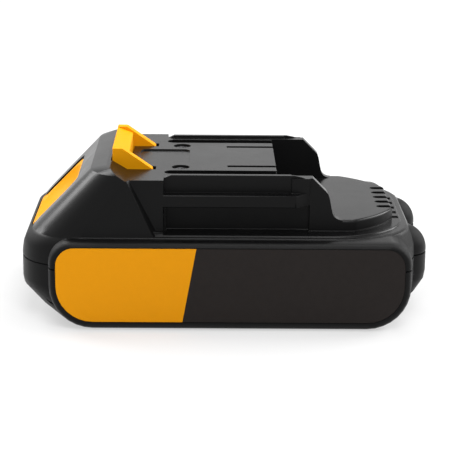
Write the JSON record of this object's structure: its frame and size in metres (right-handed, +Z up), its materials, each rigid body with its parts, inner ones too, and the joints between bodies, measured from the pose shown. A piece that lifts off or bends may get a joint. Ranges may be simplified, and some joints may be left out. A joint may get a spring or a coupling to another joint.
{
  "type": "power tool battery pack",
  "caption": "Slide-on lithium battery pack for a cordless tool: black two-part case with slide rails, terminal slots, a vented nose deck and a sprung orange release latch.",
  "frame": {"origin": "middle of the base, under the centre of the overall length and width", "axes": "+X along the slide rails to the terminal (nose) end, -X to the latch button, -Y to the label side, +Z up through the deck"},
  "size_m": [0.114, 0.075, 0.0465],
  "materials": {
    "case_black": "fine moulded grain",
    "latch_orange": "smooth moulding",
    "label_charcoal": "printed film",
    "label_orange": "printed film",
    "spring_steel": "drawn wire",
    "screw_steel": "plated",
    "cell_can": "plated can",
    "cell_sleeve": "shrink film",
    "washer_fibre": "fibre paper",
    "holder_plastic": "moulded",
    "nickel_strip": "rolled",
    "insulator_fibre": "fibre paper",
    "board_laminate": "solder mask",
    "carrier_plastic": "moulded",
    "contact_metal": "plated spring bronze",
    "chip_epoxy": "moulded epoxy",
    "shunt_metal": "stamped",
    "thermistor_epoxy": "dipped"
  },
  "bodies": {
    "pack": {"lower_case": "case_black", "upper_case": "case_black", "latch_spring_near": "spring_steel", "latch_spring_far": "spring_steel", "deck_screws": "screw_steel", "case_screws": "screw_steel", "cell_holder_near": "holder_plastic", "cell_holder_far": "holder_plastic", "cell_1": "cell_can", "cell_2": "cell_can", "cell_3": "cell_can", "cell_4": "cell_can", "cell_5": "cell_can", "cell_sleeves": "cell_sleeve", "cell_washers": "washer_fibre", "strip_pack_negative": "nickel_strip", "strip_cells_1_2": "nickel_strip", "strip_cells_2_3": "nickel_strip", "strip_cells_3_4": "nickel_strip", "strip_cells_4_5": "nickel_strip", "strip_pack_positive": "nickel_strip", "end_insulator_near": "insulator_fibre", "end_insulator_far": "insulator_fibre", "circuit_board": "board_laminate", "terminal_carrier": "carrier_plastic", "terminal_positive": "contact_metal", "terminal_negative": "contact_metal", "terminal_signal": "contact_metal", "power_transistors": "chip_epoxy", "controller_chip": "chip_epoxy", "current_shunt": "shunt_metal", "thermistor": "thermistor_epoxy", "label_main_field": "label_charcoal", "label_accent_field": "label_orange"},
    "latch": {"release_latch": "latch_orange"}
  },
  "joints": [
    {"name": "latch_slide", "type": "slide", "parent": "pack", "child": "latch", "axis": [0, 0, -1], "range_m": [0, 0.005], "stiffness_N_per_m": 1300, "springref_m": -0.004, "deforming": ["latch_spring_near", "latch_spring_far"]}
  ]
}
